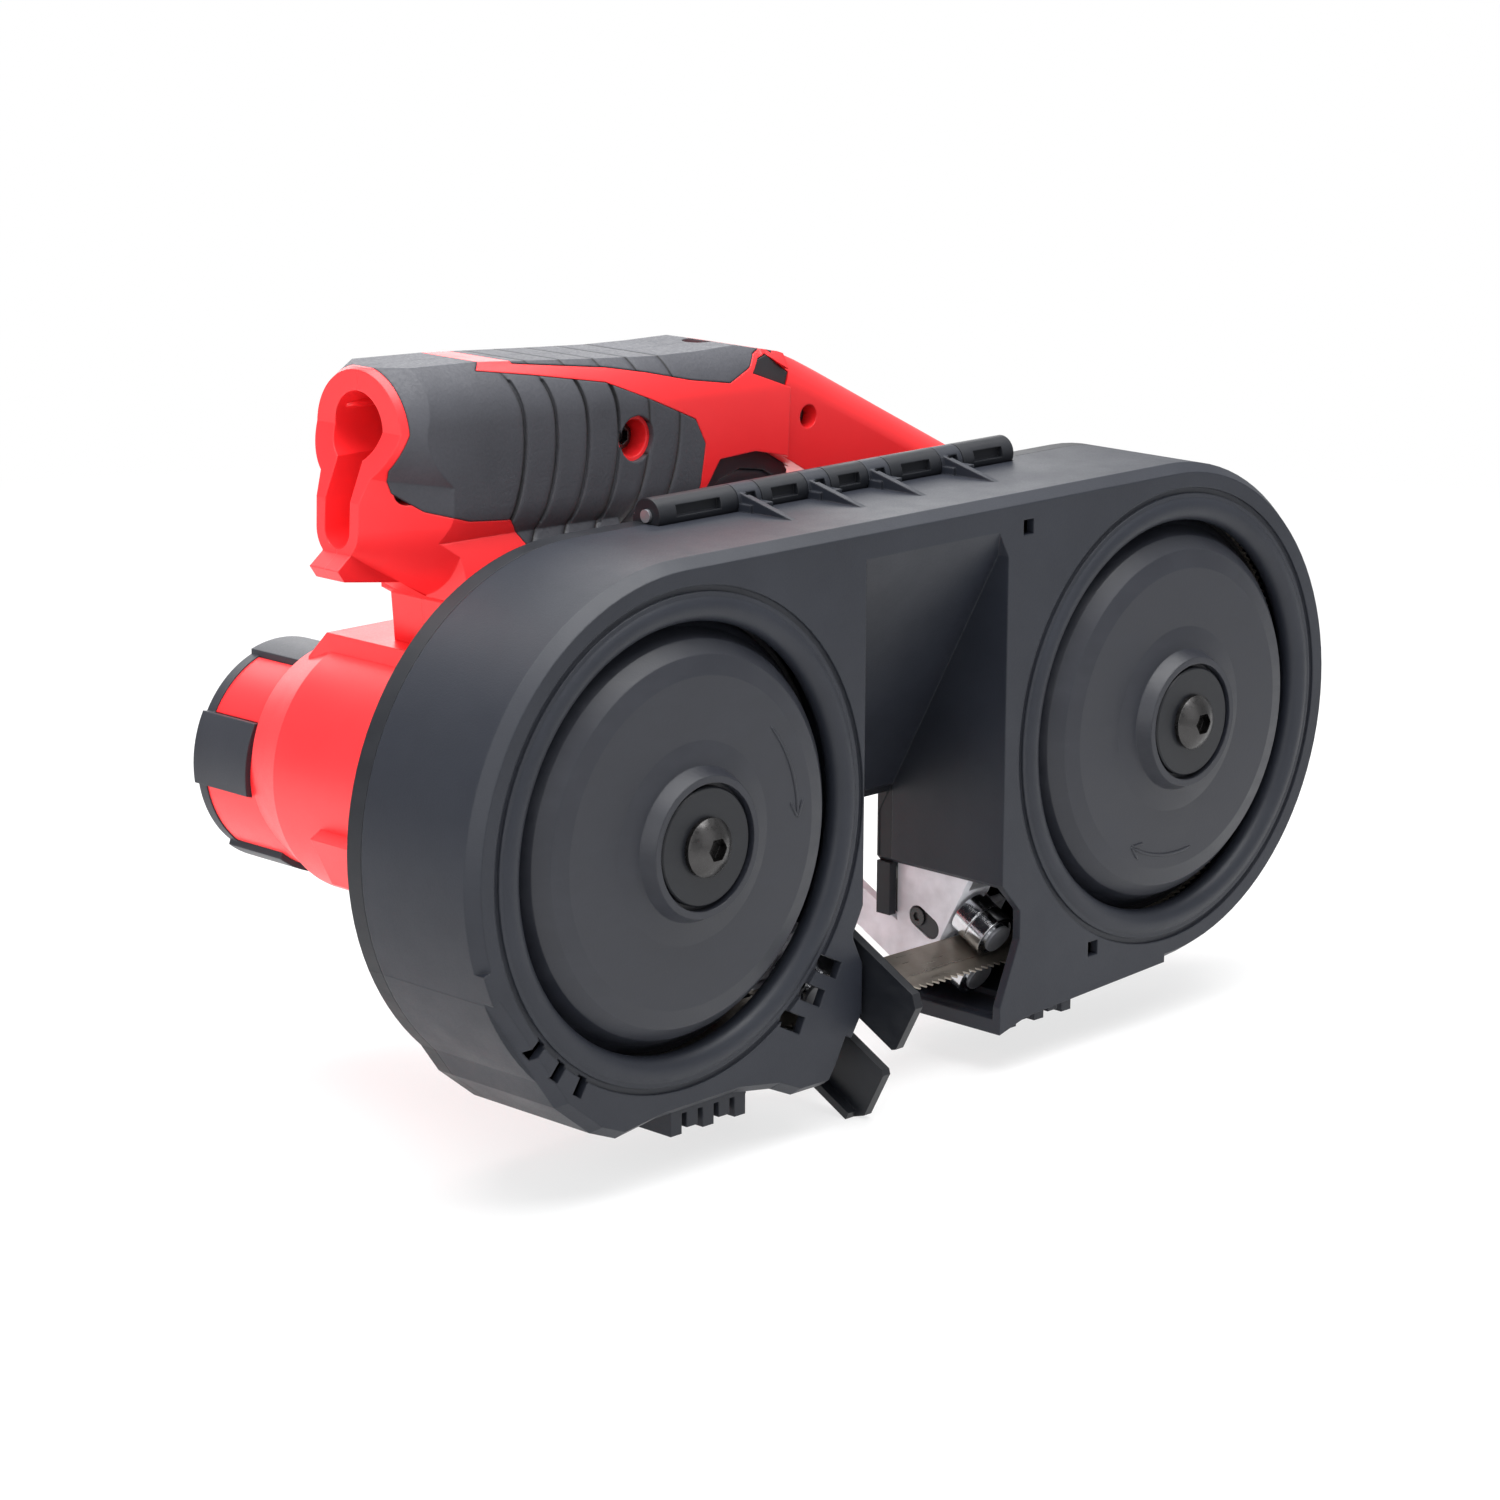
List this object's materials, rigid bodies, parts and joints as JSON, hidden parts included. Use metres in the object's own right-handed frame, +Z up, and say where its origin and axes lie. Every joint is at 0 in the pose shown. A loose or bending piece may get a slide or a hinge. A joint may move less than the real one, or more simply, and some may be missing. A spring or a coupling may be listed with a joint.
{
  "type": "portable band saw",
  "caption": "Compact hand-held band saw with two wheels under a hinged front cover, tilted roller guides, a fork-shaped work stop and a closed D-handle with a battery socket.",
  "frame": {"origin": "middle of the bounding box's base", "axes": "+X from the drive wheel to the idler wheel, +Y from the front cover to the motor, +Z up"},
  "size_m": [0.3058, 0.1598, 0.1849],
  "materials": {
    "cover_plastic": "satin, fine grain",
    "frame_casting": "satin black coat",
    "wheel_black": "satin black coat",
    "tyre_rubber": "matt",
    "bolt_black": "dark oxide",
    "washer_black": "satin",
    "bearing_steel": "polished",
    "zinc_steel": "satin zinc",
    "bracket_steel": "satin",
    "blade_steel": "brushed",
    "housing_red": "satin",
    "grip_rubber": "matt, fine grain",
    "black_plastic": "satin",
    "gear_steel": "sintered",
    "copper": "lacquered"
  },
  "bodies": {
    "frame": {"rear_frame": "frame_casting", "hinge_pin": "zinc_steel", "blade": "blade_steel", "drive_bearings": "bearing_steel", "tension_spring": "zinc_steel", "guide_bracket_left": "bracket_steel", "guide_bracket_right": "bracket_steel", "guide_pins": "zinc_steel", "guide_screws": "bolt_black", "work_stop": "washer_black", "gear_case": "bracket_steel", "gear_case_cover": "bracket_steel", "motor_can": "zinc_steel", "motor_housing": "housing_red", "motor_end_cap": "black_plastic", "handle_front_shell": "housing_red", "handle_rear_shell": "housing_red", "grip_rubber_front": "grip_rubber", "grip_rubber_rear": "grip_rubber", "battery_contacts": "black_plastic", "trigger_switch": "black_plastic"},
    "cover": {"front_cover": "cover_plastic"},
    "drive_unit": {"drive_wheel": "wheel_black", "drive_tyre": "tyre_rubber", "drive_washer": "washer_black", "drive_bolt": "bolt_black", "drive_shaft": "zinc_steel"},
    "planet_a": {"planet_gear_a": "gear_steel"},
    "planet_b": {"planet_gear_b": "gear_steel"},
    "planet_c": {"planet_gear_c": "gear_steel"},
    "rotor": {"motor_rotor": "copper"},
    "idler_carriage": {"idler_slide": "zinc_steel", "idler_axle": "zinc_steel", "idler_washer": "washer_black", "idler_bolt": "bolt_black"},
    "idler_unit": {"idler_wheel": "wheel_black", "idler_tyre": "tyre_rubber", "idler_bearings": "bearing_steel"},
    "tension_handle": {"tension_lever": "black_plastic"},
    "guide_roller_ul": {"roller_upper_left": "bearing_steel"},
    "guide_roller_ll": {"roller_lower_left": "bearing_steel"},
    "guide_roller_ur": {"roller_upper_right": "bearing_steel"},
    "guide_roller_lr": {"roller_lower_right": "bearing_steel"},
    "backup_l": {"backup_bearing_left": "bearing_steel"},
    "backup_r": {"backup_bearing_right": "bearing_steel"},
    "trigger_body": {"trigger": "black_plastic"},
    "lock_off": {"lock_off_slide": "black_plastic"}
  },
  "joints": [
    {"name": "drive_wheel_spin", "type": "hinge", "parent": "frame", "child": "drive_unit", "pos_m": [-0.0875, -0.06408, 0.08149], "axis": [0, 1, 0], "continuous": true},
    {"name": "idler_wheel_spin", "type": "hinge", "parent": "idler_carriage", "child": "idler_unit", "pos_m": [0.0875, -0.06408, 0.08149], "axis": [0, 1, 0], "continuous": true},
    {"name": "rotor_spin", "type": "hinge", "parent": "frame", "child": "rotor", "pos_m": [-0.0875, 0.00592, 0.08149], "axis": [0, 1, 0], "continuous": true},
    {"name": "planet_a_spin", "type": "hinge", "parent": "drive_unit", "child": "planet_a", "pos_m": [-0.0725, -0.00608, 0.08149], "axis": [0, 1, 0], "continuous": true},
    {"name": "planet_b_spin", "type": "hinge", "parent": "drive_unit", "child": "planet_b", "pos_m": [-0.095, -0.00608, 0.09448], "axis": [0, 1, 0], "continuous": true},
    {"name": "planet_c_spin", "type": "hinge", "parent": "drive_unit", "child": "planet_c", "pos_m": [-0.095, -0.00608, 0.0685], "axis": [0, 1, 0], "continuous": true},
    {"name": "roller_upper_left_spin", "type": "hinge", "parent": "frame", "child": "guide_roller_ul", "pos_m": [-0.0344, -0.05049, 0.03481], "axis": [0, 0.8829, 0.4695], "continuous": true},
    {"name": "roller_lower_left_spin", "type": "hinge", "parent": "frame", "child": "guide_roller_ll", "pos_m": [-0.0344, -0.04455, 0.02363], "axis": [0, 0.8829, 0.4695], "continuous": true},
    {"name": "roller_upper_right_spin", "type": "hinge", "parent": "frame", "child": "guide_roller_ur", "pos_m": [0.0313, -0.05049, 0.03481], "axis": [0, 0.8829, 0.4695], "continuous": true},
    {"name": "roller_lower_right_spin", "type": "hinge", "parent": "frame", "child": "guide_roller_lr", "pos_m": [0.0313, -0.04455, 0.02363], "axis": [0, 0.8829, 0.4695], "continuous": true},
    {"name": "backup_left_spin", "type": "hinge", "parent": "frame", "child": "backup_l", "pos_m": [-0.0439, -0.04004, 0.0332], "axis": [0, -0.4695, 0.8829], "continuous": true},
    {"name": "backup_right_spin", "type": "hinge", "parent": "frame", "child": "backup_r", "pos_m": [0.0408, -0.04004, 0.0332], "axis": [0, -0.4695, 0.8829], "continuous": true},
    {"name": "cover_hinge", "type": "hinge", "parent": "frame", "child": "cover", "pos_m": [0, -0.02658, 0.14879], "axis": [-1, 0, 0], "range_deg": [0, 100]},
    {"name": "idler_tension", "type": "slide", "parent": "frame", "child": "idler_carriage", "axis": [-1, 0, 0], "range_m": [0, 0.0025], "deforming": ["tension_spring"]},
    {"name": "tension_lever_turn", "type": "hinge", "parent": "frame", "child": "tension_handle", "pos_m": [0.0645, -0.01908, 0.08149], "axis": [0, -1, 0], "range_deg": [0, 180]},
    {"name": "trigger_pull", "type": "slide", "parent": "frame", "child": "trigger_body", "axis": [0, 0, 1], "range_m": [0, 0.0045], "stiffness_N_per_m": 500, "springref_m": -0.0015},
    {"name": "lock_off_push", "type": "slide", "parent": "frame", "child": "lock_off", "axis": [0, 1, 0], "range_m": [-0.0025, 0.0025], "stiffness_N_per_m": 400}
  ],
  "couplings": [
    {"joint": "idler_wheel_spin", "follows": "drive_wheel_spin", "ratio": 1},
    {"joint": "rotor_spin", "follows": "drive_wheel_spin", "ratio": 5},
    {"joint": "planet_a_spin", "follows": "drive_wheel_spin", "ratio": -2.6667},
    {"joint": "planet_b_spin", "follows": "drive_wheel_spin", "ratio": -2.6667},
    {"joint": "planet_c_spin", "follows": "drive_wheel_spin", "ratio": -2.6667},
    {"joint": "roller_upper_left_spin", "follows": "drive_wheel_spin", "ratio": 8.9074},
    {"joint": "roller_lower_left_spin", "follows": "drive_wheel_spin", "ratio": -8.9074},
    {"joint": "roller_upper_right_spin", "follows": "drive_wheel_spin", "ratio": 8.9074},
    {"joint": "roller_lower_right_spin", "follows": "drive_wheel_spin", "ratio": -8.9074},
    {"joint": "backup_left_spin", "follows": "drive_wheel_spin", "ratio": -11.877},
    {"joint": "backup_right_spin", "follows": "drive_wheel_spin", "ratio": -11.877},
    {"joint": "tension_lever_turn", "follows": "idler_tension", "rad_per_m": 1256.6}
  ]
}
